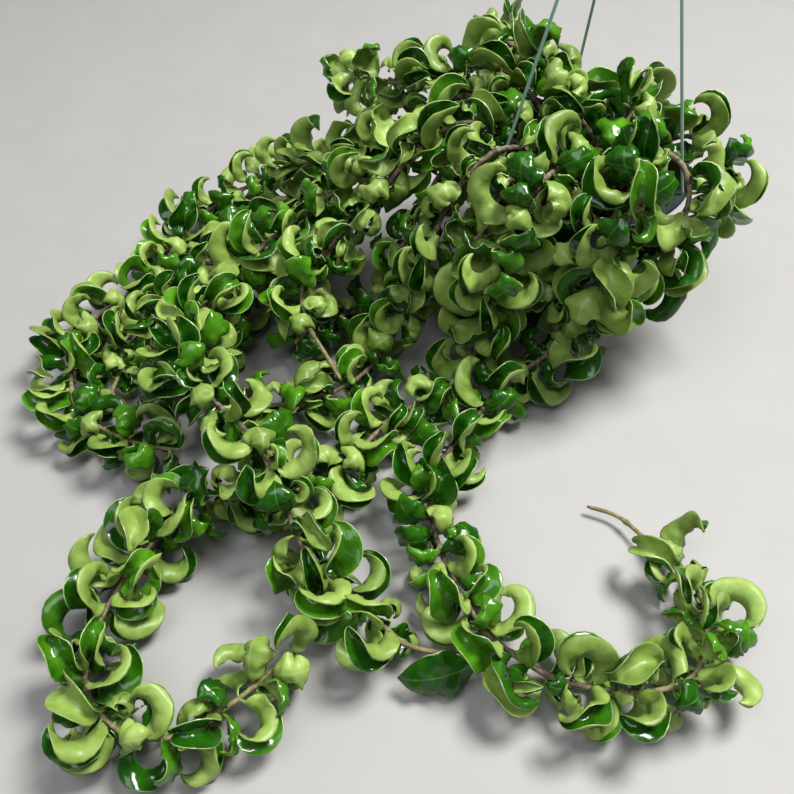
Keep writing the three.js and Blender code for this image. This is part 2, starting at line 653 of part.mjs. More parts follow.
// The soil fills the pot up to a finger's width below the rim; each stem stands in a plain hole in it.
const inner = (z) => baseRadius - wall + ((topRadius - baseRadius) * (z - floor)) / (H - floor);
const soilFoot = floor + GAP;
let soil = turned([[0, soilFoot], [inner(soilFoot) - 2 * GAP, soilFoot],
  [inner(SOIL_TOP) - 2 * GAP, SOIL_TOP], [0, SOIL_TOP + 1.5]], 28);
for (const vine of Object.values(VINES)) {
  soil = soil.subtract(upright(STEM.thick + 1.6, STEM_FOOT.z, SOIL_TOP + 9, ...vine.root, 6));
}
addMesh(group, "soil", soil, MATERIALS.soil);

// Three stiff wires hooked through the flange, and the collar with the hook they meet in.
WIRE.angles.forEach((degrees, i) => {
  const path = wirePath(degrees);
  addMesh(group, `hanger_wire_${i + 1}`, bar(path, path.map(() => WIRE.radius), 6), MATERIALS.wire);
});
let collar = upright(HOOK.collarRadius, WIRE.collar, WIRE.collar + HOOK.collarHeight, 0, 0, 16);
const bendCentre = HOOK.top - HOOK.bend;
const hookPath = [new THREE.Vector3(0, 0, WIRE.collar + 10)];
for (let k = 0; k <= 9; k += 1) {
  const angle = rad(180 - 24 * k);
  const [x, z] = [HOOK.bend * (1 + Math.cos(angle)), bendCentre + HOOK.bend * Math.sin(angle)];
  hookPath.push(new THREE.Vector3(x, 0, z));
}
collar = collar.add(bar(hookPath, hookPath.map(() => HOOK.radius), 8));
for (const degrees of WIRE.angles) {
  const [x, y] = [WIRE.inCollar * Math.cos(rad(degrees)), WIRE.inCollar * Math.sin(rad(degrees))];
  collar = collar.subtract(upright(WIRE.radius + GAP, WIRE.collar - 1, WIRE.collar + 5 + GAP, x, y));
}
addMesh(group, "hanger_hook", collar, MATERIALS.wire);

// The vines: each stem and its leaves are one body.
for (const vine of placeLeaves()) {
  addMesh(group, `vine_${vine.name}`, Manifold.union(vine.stems.map(stemSolid)), MATERIALS.leaf);
}

export default group;
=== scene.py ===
# A rope hoya in a plastic hanging pot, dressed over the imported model.

# %% [markdown]
# The object is a trailing houseplant: woody stems grow from a nursery hanging pot, and thick waxy leaves
# that curl and fold sit on them in pairs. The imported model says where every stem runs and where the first
# leaves sit. This lesson lays finer pieces over it, one step at a time. Each piece is made in millimetres,
# and scaled to metres when it is finished.

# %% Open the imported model
import math

import bmesh
import bpy
import numpy as np
from mathutils import Matrix, Vector, noise


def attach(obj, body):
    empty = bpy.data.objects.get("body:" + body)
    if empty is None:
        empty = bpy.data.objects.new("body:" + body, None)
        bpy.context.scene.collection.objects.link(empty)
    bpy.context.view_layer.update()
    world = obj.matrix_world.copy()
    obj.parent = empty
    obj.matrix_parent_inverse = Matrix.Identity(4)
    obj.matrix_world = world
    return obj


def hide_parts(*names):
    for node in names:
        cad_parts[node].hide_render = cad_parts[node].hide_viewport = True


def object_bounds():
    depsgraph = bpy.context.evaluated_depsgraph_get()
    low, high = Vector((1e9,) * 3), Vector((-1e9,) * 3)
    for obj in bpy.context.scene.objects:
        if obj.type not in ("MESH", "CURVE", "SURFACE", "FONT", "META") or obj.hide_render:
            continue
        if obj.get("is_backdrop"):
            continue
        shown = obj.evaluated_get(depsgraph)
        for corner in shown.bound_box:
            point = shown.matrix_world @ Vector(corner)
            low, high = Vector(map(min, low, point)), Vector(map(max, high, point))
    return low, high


MM = 0.001
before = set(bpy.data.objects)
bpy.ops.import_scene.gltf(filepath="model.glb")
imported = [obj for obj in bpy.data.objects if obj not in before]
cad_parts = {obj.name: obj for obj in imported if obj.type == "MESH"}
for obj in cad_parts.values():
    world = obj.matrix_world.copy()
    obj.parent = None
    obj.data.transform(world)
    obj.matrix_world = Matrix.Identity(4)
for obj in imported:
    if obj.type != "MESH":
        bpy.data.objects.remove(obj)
cad_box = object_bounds()
print("the packed model reaches", [round(v / MM) for corner in cad_box for v in corner], "mm")

# %% [markdown]
# The photograph looks down on the plant from about half a metre up. Its focal length in pixels, over the
# picture's width, gives the lens: the same angle of view on any sensor.

# %% Set the camera where the photograph was taken
PHOTO_PX = 794
FOCAL_PX = 800
SENSOR = 36
camera_data = bpy.data.cameras.new("photo_camera")
camera_data.sensor_width = SENSOR
camera_data.lens = SENSOR * FOCAL_PX / PHOTO_PX
camera = bpy.data.objects.new("photo_camera", camera_data)
bpy.context.collection.objects.link(camera)
CAMERA_PLACE = (-148, -571, 489)
CAMERA_TILT = 41.5
camera.location = [v * MM for v in CAMERA_PLACE]
camera.rotation_euler = (math.radians(CAMERA_TILT), 0, 0)
bpy.context.scene.camera = camera
print("lens", round(camera_data.lens, 1), "mm")

# %% [markdown]
# Colours are easiest to pick as sRGB hex values, which is how a screen shows them. Blender's shaders work
# in linear light, so one function turns the one into the other.
# Materials are trees of nodes. One small function adds a node, sets it and joins it, so that each material
# below reads as a list of what it is made of.

# %% Helpers for colours and nodes
def linear(hex_colour):
    channels = [int(hex_colour[i:i + 2], 16) / 255 for i in (1, 3, 5)]
    return [c / 12.92 if c <= 0.04045 else ((c + 0.055) / 1.055) ** 2.4 for c in channels] + [1.0]


def add_node(tree, kind, settings=None, links=None):
    made = tree.nodes.new(kind)
    for name, value in (settings or {}).items():
        if isinstance(name, int) or name in made.inputs:
            made.inputs[name].default_value = value
        else:
            setattr(made, name, value)
    for name, socket in (links or {}).items():
        tree.links.new(socket, made.inputs[name])
    return made


def new_material(name, settings):
    material = bpy.data.materials.new(name)
    material.use_nodes = True
    tree = material.node_tree
    shader = tree.nodes["Principled BSDF"]
    for socket, value in settings.items():
        shader.inputs[socket].default_value = value
    return material, tree, shader


def blend_colours(tree, factor, first, second):
    """Mixes two colours. Each is a hex value or a socket."""
    made = add_node(tree, "ShaderNodeMix", {"data_type": "RGBA"})
    tree.links.new(factor, made.inputs["Factor"])
    for name, colour in (("A", first), ("B", second)):
        socket = next(i for i in made.inputs if i.name == name and i.type == "RGBA")
        if isinstance(colour, str):
            socket.default_value = linear(colour)
        else:
            tree.links.new(colour, socket)
    return next(o for o in made.outputs if o.type == "RGBA")


def ramp(tree, value, low, high):
    """0 up to low and 1 from high on, with a smooth step between."""
    settings = {"interpolation_type": "SMOOTHSTEP", "From Min": low, "From Max": high}
    return add_node(tree, "ShaderNodeMapRange", settings, {"Value": value}).outputs["Result"]


def grain(tree, size_mm, detail=2.0):
    """Noise whose blotches are about size_mm across, fixed to the object."""
    place = add_node(tree, "ShaderNodeTexCoord").outputs["Object"]
    settings = {"Scale": 1 / (size_mm * MM), "Detail": detail}
    return add_node(tree, "ShaderNodeTexNoise", settings, {"Vector": place}).outputs["Fac"]


def add_bump(tree, shader, height, distance_mm, strength=1.0):
    settings = {"Distance": distance_mm * MM, "Strength": strength}
    made = add_node(tree, "ShaderNodeBump", settings, {"Height": height})
    tree.links.new(made.outputs["Normal"], shader.inputs["Normal"])


# %% [markdown]
# Every finished piece goes the same way: the bmesh is scaled from millimetres to metres, written into a
# mesh, shaded smooth, and attached to the body it rides on, and the imported node it stands for is hidden.

# %% A helper that finishes a piece
def finish_piece(bm, name, materials, stands_for):
    mesh = bpy.data.meshes.new(name)
    bmesh.ops.scale(bm, vec=(MM, MM, MM), verts=bm.verts)
    bm.to_mesh(mesh)
    bm.free()
    mesh.shade_smooth()
    for material in materials:
        mesh.materials.append(material)
    piece = bpy.data.objects.new(name, mesh)
    bpy.context.collection.objects.link(piece)
    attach(piece, "root")
    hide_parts(*stands_for)
    triangles = sum(len(p.vertices) - 2 for p in mesh.polygons)
    print(name, "has", triangles, "triangles")
    return piece


# %% [markdown]
# The driving dimensions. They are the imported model's own, so that each finer piece lies where its solid is.

# %% Driving dimensions
POT = {"height": 130, "rim": 88, "top": 81, "base": 61, "wall": 1.8, "flange": 3, "floor": 2.4}
SOIL_TOP = 117
FOOT = {"z": 95, "straight": 26}
WIRE = {"radius": 1.2, "circle": 84.5, "angles": [208.4, 88.4, 328.4], "collar": 433, "inside": 2.9}
SEEN = {"from": CAMERA_PLACE, "above": [168, 250, 136], "below": 240, "reach": 88, "step": 8}
HOOK = {"collar": 5, "height": 16, "radius": 1.5, "bend": 14, "top": 495}
STEM = {"thick": 2.9, "thin": 1.9, "pitch": 24.5, "first": 40, "first_on_shoot": 20}
LEAF = {"length": 37, "stalk": 4.5, "steepest": 140, "thickest": 5}

# %% [markdown]
# The pot is a thin moulded nursery pot. Its wall is one turned shape, so an outline is spun about the
# upright axis. The base and the flange have holes in them: their flat faces are filled between
# circles, which is simpler than cutting, and leaves clean round edges.

# %% The pot's material: polypropylene, injection moulded
# Moulded polypropylene is slightly waxy, so its gloss is soft and its dark green takes dust on the outside.
pot_plastic, tree, shader = new_material("polypropylene_moulded_dark_green",
                                         {"Roughness": 0.42, "IOR": 1.49})
speck = grain(tree, 9, 4)
colour = blend_colours(tree, ramp(tree, speck, 0.45, 0.75), "#142e27", "#1f3b33")
tree.links.new(colour, shader.inputs["Base Color"])
add_bump(tree, shader, grain(tree, 1.2), 0.08, 0.5)


# %% Turn the pot
def spin_outline(bm, outline, segments):
    """A turned shape from [radius, height] points."""
    verts = [bm.verts.new((r, 0, z)) for r, z in outline]
    edges = [bm.edges.new(pair) for pair in zip(verts, verts[1:])]
    bmesh.ops.spin(bm, geom=verts + edges, cent=(0, 0, 0), axis=(0, 0, 1), angle=2 * math.pi,
                   steps=segments, use_merge=True)
    bmesh.ops.remove_doubles(bm, verts=bm.verts, dist=1e-4)


def bore(bm, radius, x, y, low, high, segments):
    """The wall of a round hole between two heights."""
    ends = []
    for z in (low, high):
        place = Matrix.Translation((x, y, z))
        ends += bmesh.ops.create_circle(bm, segments=segments, radius=radius, matrix=place)["verts"]
    rings = [e for e in bm.edges if not e.link_faces and e.verts[0] in ends]
    bmesh.ops.bridge_loops(bm, edges=rings)


def fill_level(bm, z, wanted):
    """Fills the flat face between the open circles that lie at height z."""
    open_edges = [e for e in bm.edges if len(e.link_faces) < 2
                  and all(abs(v.co.z - z) < 1e-3 and wanted(v.co.xy.length) for v in e.verts)]
    bmesh.ops.triangle_fill(bm, edges=open_edges, use_beauty=True, use_dissolve=False)


DRAIN = {"count": 6, "radius": 4, "circle": 42}
WIRE_HOLE = WIRE["radius"] + 0.5
AROUND_POT = 96
height, rim, top, base = POT["height"], POT["rim"], POT["top"], POT["base"]
wall, flange, floor = POT["wall"], POT["flange"], POT["floor"]
under = height - flange
bm = bmesh.new()
# outside, from the base's edge up to the flange
spin_outline(bm, [[base - 3, 0], [base - 1, 0.4], [base, 1.6], [base + 1, 8], [base + 0.6, 8.8],
                  [base + 9.4, 66], [top - 1.6, 118], [top - 0.6, 119], [top - 0.3, under - 1],
                  [top + 0.8, under]], AROUND_POT)
# the flange's rounded lip
spin_outline(bm, [[rim - 1, under], [rim - 0.2, under + 0.3], [rim, under + 1.2],
                  [rim - 0.1, height - 0.7], [rim - 0.7, height - 0.1], [rim - 1.2, height]], AROUND_POT)
# inside, from the rim down to the floor
spin_outline(bm, [[top - 0.9, height], [top - wall, height - 0.8], [base + 7.6, 66],
                  [base - wall, floor + 1.5], [base - wall - 1.5, floor]], AROUND_POT)
for k in range(DRAIN["count"]):
    angle = math.radians(360 / DRAIN["count"] * (k + 0.5))
    x, y = DRAIN["circle"] * math.cos(angle), DRAIN["circle"] * math.sin(angle)
    bore(bm, DRAIN["radius"], x, y, 0, floor, 20)
for degrees in WIRE["angles"]:
    x = WIRE["circle"] * math.cos(math.radians(degrees))
    y = WIRE["circle"] * math.sin(math.radians(degrees))
    bore(bm, WIRE_HOLE, x, y, under, height, 12)
fill_level(bm, 0, lambda r: r < base)
fill_level(bm, floor, lambda r: r < base)
fill_level(bm, under, lambda r: r > top)
fill_level(bm, height, lambda r: r > top - 2)
bmesh.ops.recalc_face_normals(bm, faces=bm.faces)
open_left = sum(len(e.link_faces) != 2 for e in bm.edges)
pot = finish_piece(bm, "pot_moulded", [pot_plastic], ["pot"])
pot.data.set_sharp_from_angle(angle=math.radians(35))
print("edges left open on the pot:", open_left)

# %% [markdown]
# The potting mix is bark and peat. A spun disc with uneven height makes the bed, and a few hundred small
# squashed crumbs lie half sunk in it. Each crumb has only twenty faces: they are seen from far away.

# %% The potting mix's material: composted bark
# Damp bark has no shine. Each crumb's place picks one of three browns, so the bed doesn't look dyed.
soil_mix, tree, shader = new_material("bark_compost_loose", {"Roughness": 0.95})
first = blend_colours(tree, ramp(tree, grain(tree, 7), 0.4, 0.6), "#2a1d14", "#4a3524")
colour = blend_colours(tree, ramp(tree, grain(tree, 4, 0), 0.58, 0.66), first, "#6d5136")
tree.links.new(colour, shader.inputs["Base Color"])
add_bump(tree, shader, grain(tree, 1.5, 5), 0.6)


# %% Lay the potting mix
def seeded(seed):
    """The same row of numbers between 0 and 1 every time."""
    state = seed % 2**32
    while True:
        state = (state * 1664525 + 1013904223) % 2**32
        yield state / 2**32


CRUMBS = 420
CRUMB = {"smallest": 1.2, "spread": 3.4, "long": 1.5, "flat": 0.6, "tilt": 0.9}
random = seeded(41)
slope = (top - base) / (height - floor)
bed = base - wall - 1 + slope * (SOIL_TOP - floor)
outline = [[0, floor + 0.5], [base - wall - 2, floor + 0.5], [bed, SOIL_TOP - 1]]
outline += [[r, SOIL_TOP] for r in np.linspace(bed - 1, 0, 26)]
bm = bmesh.new()
spin_outline(bm, outline, 72)
for v in bm.verts:
    if v.co.z > SOIL_TOP - 2:
        v.co.z += 1.0 + 2.2 * noise.noise(v.co * 0.09) + 1.2 * noise.noise(v.co * 0.35)
bmesh.ops.recalc_face_normals(bm, faces=bm.faces)
for _ in range(CRUMBS):
    angle, out, size, tilt = (next(random) for _ in range(4))
    angle = math.tau * angle
    out = (bed - 4) * math.sqrt(out)
    place = Matrix.Translation((out * math.cos(angle), out * math.sin(angle), SOIL_TOP + 1.4))
    turn = Matrix.Rotation(math.tau * tilt, 4, "Z") @ Matrix.Rotation(CRUMB["tilt"] * tilt, 4, "X")
    size = CRUMB["smallest"] + CRUMB["spread"] * size**2
    shape = Matrix.Diagonal((size * CRUMB["long"], size, size * CRUMB["flat"], 1))
    bmesh.ops.create_icosphere(bm, subdivisions=1, radius=1, matrix=place @ turn @ shape)
finish_piece(bm, "potting_mix", [soil_mix], ["soil"])

# %% [markdown]
# The hanger is three stiff coated wires, hooked through the flange and gathered in a collar under a hook.
# A wire is a circle drawn along a path. The same drawing along a path makes the stems later, so it gets a
# helper: the circle is extruded once for each point, and then each ring is moved to its place, facing
# along the path. The directions across the path are carried from point to point, so nothing twists.

# %% Draw a circle along a path
def unit(v):
    return v / np.linalg.norm(v)


def carried_directions(points):
    """The tangent and a direction across it at each point of a path."""
    ends = np.vstack([points[:1], points, points[-1:]])
    tangents = [unit(b - a) for a, b in zip(ends, ends[2:])]
    side = np.array([1.0, 0, 0]) if abs(tangents[0][0]) < 0.9 else np.array([0, 1.0, 0])
    sides = []
    for tangent in tangents:
        side = unit(side - tangent * side.dot(tangent))
        sides.append(side)
    return np.array(tangents), np.array(sides)


def extrude_rings(bm, segments, count):
    """count unit circles, joined ring to ring, all still in one place."""
    ring = bmesh.ops.create_circle(bm, segments=segments, radius=1)["verts"]
    edges = list({e for v in ring for e in v.link_edges})
    rings = [(ring, edges)]
    for _ in range(count - 1):
        made = bmesh.ops.extrude_edge_only(bm, edges=rings[-1][1])["geom"]
        verts = [g for g in made if isinstance(g, bmesh.types.BMVert)]
        edges = [g for g in made if isinstance(g, bmesh.types.BMEdge) and g.is_boundary]
        rings.append((verts, edges))
    return rings


def draw_along(bm, points, radii, segments):
    """A round bar along a path, closed at both ends; gives its faces."""
    points = np.array(points, float)
    tangents, sides = carried_directions(points)
    rings = extrude_rings(bm, segments, len(points))
    for (ring, _), point, tangent, side, radius in zip(rings, points, tangents, sides, radii):
        other = np.cross(tangent, side)
        for v in ring:
            v.co = Vector(point + radius * (side * v.co.x + other * v.co.y))
    for _, edges in (rings[0], rings[-1]):
        bmesh.ops.edgenet_fill(bm, edges=edges)
    faces = list({f for ring, _ in rings for v in ring for f in v.link_faces})
    bmesh.ops.recalc_face_normals(bm, faces=faces)
    return faces


def smooth_path(points, per_span=12):
    """A smooth curve that runs through its points."""
    knots = np.array(points, float)
    knots = np.vstack([2 * knots[0] - knots[1], knots, 2 * knots[-1] - knots[-2]])
    count = len(points) - 1
    fine = []
    for i in range(count * per_span + 1):
        k = min(i // per_span, count - 1)
        w = i / per_span - k
        p0, p1, p2, p3 = knots[k:k + 4]
        leave, arrive = (p2 - p0) / 2, (p3 - p1) / 2
        fine.append(p1 + leave * w + (3 * (p2 - p1) - 2 * leave - arrive) * w**2
                    + (2 * (p1 - p2) + leave + arrive) * w**3)
    return np.array(fine)


# %% The wires' material: steel wire, powder coated
# The coat is a thin grey green skin with a satin gloss and a faint orange peel from the oven.
coated_wire, tree, shader = new_material("steel_wire_powder_coated", {"Roughness": 0.34, "IOR": 1.5})
colour = blend_colours(tree, grain(tree, 14), "#86ab9c", "#a2c2b5")
tree.links.new(colour, shader.inputs["Base Color"])
add_bump(tree, shader, grain(tree, 0.8), 0.03, 0.6)


# %% Bend the wires and the hook
def wire_path(degrees):
    angle = math.radians(degrees)

    def place(r, z, shift=0):
        x, y = math.cos(angle), math.sin(angle)
        return [r * x - shift * y, r * y + shift * x, z]

    circle, inside, collar = WIRE["circle"], WIRE["inside"], WIRE["collar"]
    return [place(circle, height - 5, 7.5), place(circle, height - 8, 6.5), place(circle, height - 9.5, 4),
            place(circle, height - 8.5, 1.2), place(circle, height - 6, 0), place(circle, height + 1, 0),
            place(circle - 1.4, height + 6), place(inside + 0.7, collar - 7), place(inside, collar - 3),
            place(inside, collar + 5)]


for number, degrees in enumerate(WIRE["angles"], 1):
    path = wire_path(degrees)
    fine = np.vstack([smooth_path(path[:7], 4), smooth_path(path[7:], 4)])
    bm = bmesh.new()
    draw_along(bm, fine, [WIRE["radius"]] * len(fine), 16)
    finish_piece(bm, f"coated_wire_{number}", [coated_wire], [f"hanger_wire_{number}"])
bm = bmesh.new()
low, high, out = WIRE["collar"], WIRE["collar"] + HOOK["height"], HOOK["collar"]
spin_outline(bm, [[0, low], [out - 0.8, low], [out, low + 0.8], [out, low + 5], [out - 0.6, low + 5.6],
                  [out - 0.6, low + 10.4], [out, low + 11], [out, high - 1.5], [out - 1.5, high],
                  [0, high]], 40)
bmesh.ops.recalc_face_normals(bm, faces=bm.faces)
centre = HOOK["top"] - HOOK["bend"]
path = [[0, 0, low + 10], [0, 0, (low + 10 + centre) / 2]]
for k in range(28):
    angle = math.radians(180 - 8 * k)
    path.append([HOOK["bend"] * (1 + math.cos(angle)), 0, centre + HOOK["bend"] * math.sin(angle)])
draw_along(bm, path, [HOOK["radius"]] * len(path), 16)
hook = finish_piece(bm, "hook_and_collar", [coated_wire], ["hanger_hook"])
hook.data.set_sharp_from_angle(angle=math.radians(40))

# %% [markdown]
# Each vine starts at a root in the pot and runs through the points of its line, and some bear side shoots.
# leaf says how large its first and last leaves are, and bare how long the leafless tip is. One leaf sits
# alone on a bare stem: lone gives its joint and its own recipe.
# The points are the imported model's own.

# %% Where the vines run
VINES = {
    "top_back": {
        "root": [4, 34], "leaf": [1.2, 1.15], "bare": 0,
        "line": [[2, 40, 142], [-14, 51, 167], [-37, 62, 186], [-57, 80, 190], [-52, 103, 177],
                 [-32, 117, 154], [-16, 122, 122]],
        "shoots": [],
    },
    "right_side": {
        "root": [46, 2], "leaf": [1.05, 1.05], "bare": 0,
        "line": [[48, 1, 140], [58, -11, 153], [70, -12, 160], [86, -15, 160], [98, -23, 151],
                 [100, -40, 136], [100, -45, 116]],
        "shoots": [],
    },
    "front_right": {
        "root": [30, -22], "leaf": [1.2, 0.88], "bare": 64,
        "line": [[30, -24, 140], [30, -46, 166], [24, -78, 176], [14, -108, 160], [3, -121, 118],
                 [-5, -122, 72], [-25, -124, 40], [-54, -142, 29], [-82, -173, 27], [-106, -207, 27],
                 [-123, -239, 27], [-125, -268, 27], [-119, -298, 27], [-108, -326, 27], [-95, -351, 26],
                 [-78, -368, 26], [-54, -383, 26], [-23, -390, 26], [4, -390, 26], [26, -382, 26],
                 [39, -363, 26], [45, -339, 26], [41, -314, 24], [33, -296, 18], [22, -278, 12],
                 [8, -259, 9], [-12, -250, 8]],
        "shoots": [{
            "leaf": [1.22, 1.1], "bare": 0,
            "line": [[30, -46, 166], [46, -54, 172], [58, -68, 168], [62, -84, 150], [54, -92, 119],
                     [38, -89, 90]],
        }],
    },
    "right_back": {
        "root": [34, 28], "leaf": [1.02, 0.98], "bare": 0,
        "line": [[36, 30, 140], [43, 40, 144], [53, 56, 143], [64, 75, 129], [76, 92, 106], [84, 106, 78]],
        "shoots": [],
    },
    "top_left": {
        "root": [-16, 26], "leaf": [1.15, 0.95], "bare": 0,
        "line": [[-20, 28, 140], [-36, 36, 164], [-60, 46, 182], [-88, 54, 184], [-114, 47, 175],
                 [-145, 65, 164], [-175, 87, 158], [-193, 111, 149]],
        "shoots": [],
    },
    "middle": {
        "root": [-44, -8], "leaf": [1.1, 0.92], "bare": 96,
        "lone": {"joint": 29, "heading": 75, "recipe": {
            "length": 50, "half": 17, "lean": -50, "bend": 20, "more": 50, "fold": -18, "cup": 60,
            "twist": 0, "roll": 40, "wave": 24, "phase": 0}},
        "line": [[-48, -9, 140], [-66, -12, 162], [-94, -16, 174], [-124, -18, 162], [-158, -14, 140],
                 [-192, -14, 116], [-226, -26, 96], [-258, -48, 82], [-284, -80, 74], [-298, -115, 72],
                 [-302, -150, 74], [-292, -185, 80], [-272, -214, 82], [-248, -238, 80], [-228, -264, 66],
                 [-214, -294, 46], [-201, -312, 32], [-181, -329, 28], [-158, -349, 27], [-142, -362, 26],
                 [-122, -366, 23], [-101, -368, 18], [-78, -373, 13], [-58, -378, 9]],
        "shoots": [{
            "leaf": [1.0, 0.8], "bare": 42,
            "line": [[-124, -18, 162], [-148, -36, 144], [-174, -54, 120], [-200, -72, 100], [-220, -98, 86],
                     [-216, -128, 74], [-202, -148, 60], [-190, -164, 48]],
        }, {
            "leaf": [0.9, 0.85], "bare": 0,
            "line": [[-258, -48, 82], [-266, -36, 58], [-282, -30, 36], [-290, -54, 27], [-288, -86, 27],
                     [-302, -116, 27], [-324, -140, 27], [-352, -148, 27]],
        }],
    },
    "left_edge": {
        "root": [-34, 8], "leaf": [1.1, 0.9], "bare": 0,
        "line": [[-38, 12, 138], [-58, 20, 160], [-88, 28, 172], [-122, 36, 156], [-156, 36, 128],
                 [-189, 48, 104], [-220, 72, 84], [-253, 100, 62], [-283, 104, 44], [-311, 97, 32],
                 [-333, 74, 28], [-350, 44, 27], [-361, 10, 27], [-368, -24, 27], [-384, -48, 27],
                 [-400, -68, 27], [-412, -100, 27], [-405, -140, 27], [-395, -169, 27], [-381, -185, 27],
                 [-358, -199, 27], [-331, -210, 27], [-305, -214, 27]],
        "shoots": [{
            "leaf": [0.95, 0.85], "bare": 0,
            "line": [[-189, 48, 104], [-212, 54, 78], [-236, 46, 50], [-262, 40, 30], [-290, 42, 27],
                     [-314, 24, 27], [-322, -10, 27], [-334, -46, 27], [-354, -74, 27], [-372, -98, 27],
                     [-368, -129, 27], [-369, -159, 27]],
        }, {
            "leaf": [0.95, 0.85], "bare": 0,
            "line": [[-156, 36, 128], [-168, 30, 104], [-186, 18, 78], [-208, 10, 50], [-236, 2, 30],
                     [-262, -4, 27]],
        }],
    },
    "front_left": {
        "root": [-10, -36], "leaf": [1.15, 0.92], "bare": 0,
        "line": [[-14, -42, 140], [-28, -64, 165], [-48, -88, 168], [-68, -108, 140], [-78, -116, 98],
                 [-82, -120, 58], [-92, -134, 32], [-112, -154, 27], [-136, -172, 27], [-160, -194, 27],
                 [-180, -220, 28], [-204, -240, 29], [-232, -250, 33], [-262, -255, 36], [-286, -261, 31],
                 [-301, -277, 28], [-313, -298, 27], [-325, -325, 27], [-333, -357, 27], [-330, -387, 26],
                 [-311, -409, 26], [-292, -417, 26], [-272, -416, 26], [-255, -406, 26], [-239, -394, 26],
                 [-224, -380, 26], [-209, -367, 26]],
        "shoots": [{
            "leaf": [1.2, 1.1], "bare": 0,
            "line": [[-28, -64, 165], [-16, -80, 168], [-12, -96, 152], [-18, -110, 126], [-26, -114, 100],
                     [-34, -112, 78]],
        }, {
            "leaf": [1.1, 1.0], "bare": 0,
            "line": [[-28, -64, 165], [-48, -66, 174], [-68, -76, 162], [-82, -86, 136], [-90, -94, 108],
                     [-92, -96, 84]],
        }],
    },
    "left_hang": {
        "root": [-28, -18], "leaf": [1.1, 0.84], "bare": 0,
        "line": [[-32, -23, 140], [-50, -38, 164], [-76, -55, 174], [-100, -66, 156], [-118, -77, 123],
                 [-127, -84, 86], [-140, -94, 54], [-156, -110, 33], [-172, -134, 27], [-196, -156, 27],
                 [-228, -168, 27], [-262, -174, 27], [-292, -186, 27]],
        "shoots": [{
            "leaf": [1.1, 0.95], "bare": 0,
            "line": [[-76, -55, 174], [-94, -44, 168], [-113, -40, 148], [-128, -46, 122], [-140, -56, 98],
                     [-150, -62, 76]],
        }, {
            "leaf": [1.0, 0.85], "bare": 0,
            "line": [[-127, -84, 86], [-146, -76, 62], [-166, -68, 38], [-192, -68, 27], [-216, -80, 27],
                     [-232, -104, 27]],
        }],
    },
    "crown": {
        "root": [10, 4], "leaf": [1.05, 1.0], "bare": 0,
        "line": [[10, 4, 140], [2, 0, 158], [-12, 6, 174], [-20, 24, 184]],
        "shoots": [{
            "leaf": [1.1, 1.0], "bare": 0,
            "line": [[10, 4, 140], [24, 6, 156], [30, 2, 174], [22, -10, 186]],
        }],
    },
}


# %% [markdown]
# A stem is a smooth curve through its points. To set leaves along it, its length has to be known, so the
# curve is cut into short steps and their lengths are added up. at(s) then gives the place s millimetres
# along: the point, the way the stem runs, and a direction across it.

# %% Measure a stem along its length
class Course:
    def __init__(self, points):
        self.fine = smooth_path(points)
        steps = np.linalg.norm(np.diff(self.fine, axis=0), axis=1)
        self.lengths = np.concatenate([[0], np.cumsum(steps)])
        self.tangents, self.sides = carried_directions(self.fine)
        self.total = self.lengths[-1]

    def at(self, s):
        i = int(np.clip(np.searchsorted(self.lengths, s), 1, len(self.fine) - 1))
        t = (s - self.lengths[i - 1]) / (self.lengths[i] - self.lengths[i - 1])
        point, tangent, side = (row[i - 1] + (row[i] - row[i - 1]) * t
                                for row in (self.fine, self.tangents, self.sides))
        return point, unit(tangent), unit(side)


# %% [markdown]
# No two leaves of this plant are alike. Some fold up or roll forward over their upper face and show their
# pale back, and some roll backward or fold down and show their glossy face. Ten numbers settle a leaf:
# how long and wide it is, how it bends along its midrib, how it folds and cups across it, and its twist.
# A flat blade is then bent by that recipe. This is quicker than modelling leaves by hand, and every
# leaf still has its own shape.

# %% The recipe of one leaf, and the bending of its blade
def leaf_recipe(r, size):
    length = LEAF["length"] * size * (0.9 + 0.3 * r[0])
    recipe = {"length": length, "half": length * (0.35 + 0.08 * r[1])}
    if r[2] < 0.42:
        # pale outside: folded up along the rib, and bent back
        recipe.update(lean=50 - 40 * r[3], bend=50 + 50 * r[4], more=80 + 80 * r[5],
                      fold=-26, cup=-(50 + 45 * r[6]))
    elif r[2] < 0.58:
        # pale outside: rolled forward over its upper face
        recipe.update(lean=-20 + 35 * r[3], bend=-(60 + 50 * r[4]), more=-(90 + 80 * r[5]),
                      fold=-6, cup=-(60 + 40 * r[6]))
    elif r[2] < 0.88:
        # dark outside: rolled back, each half puffed up beside the groove of the rib
        recipe.update(lean=25 + 40 * r[3], bend=40 + 60 * r[4], more=80 + 80 * r[5],
                      fold=-28, cup=95 + 45 * r[6])
    else:
        # dark outside: folded down along the rib, and bent forward
        recipe.update(lean=-20 + 40 * r[3], bend=-(50 + 60 * r[4]), more=-(70 + 70 * r[5]),
                      fold=26, cup=50 + 45 * r[6])
    recipe.update(twist=(r[7] - 0.5) * 90, roll=(r[8] - 0.5) * 60, wave=24 + 26 * r[9], phase=360 * r[9])
    return recipe


RIB_STEPS = 24
STALK_RADIUS = 1.1


def cross(a, b):
    """The cross product along the last axis."""
    return np.stack([a[..., 1] * b[..., 2] - a[..., 2] * b[..., 1],
                     a[..., 2] * b[..., 0] - a[..., 0] * b[..., 2],
                     a[..., 0] * b[..., 1] - a[..., 1] * b[..., 0]], axis=-1)


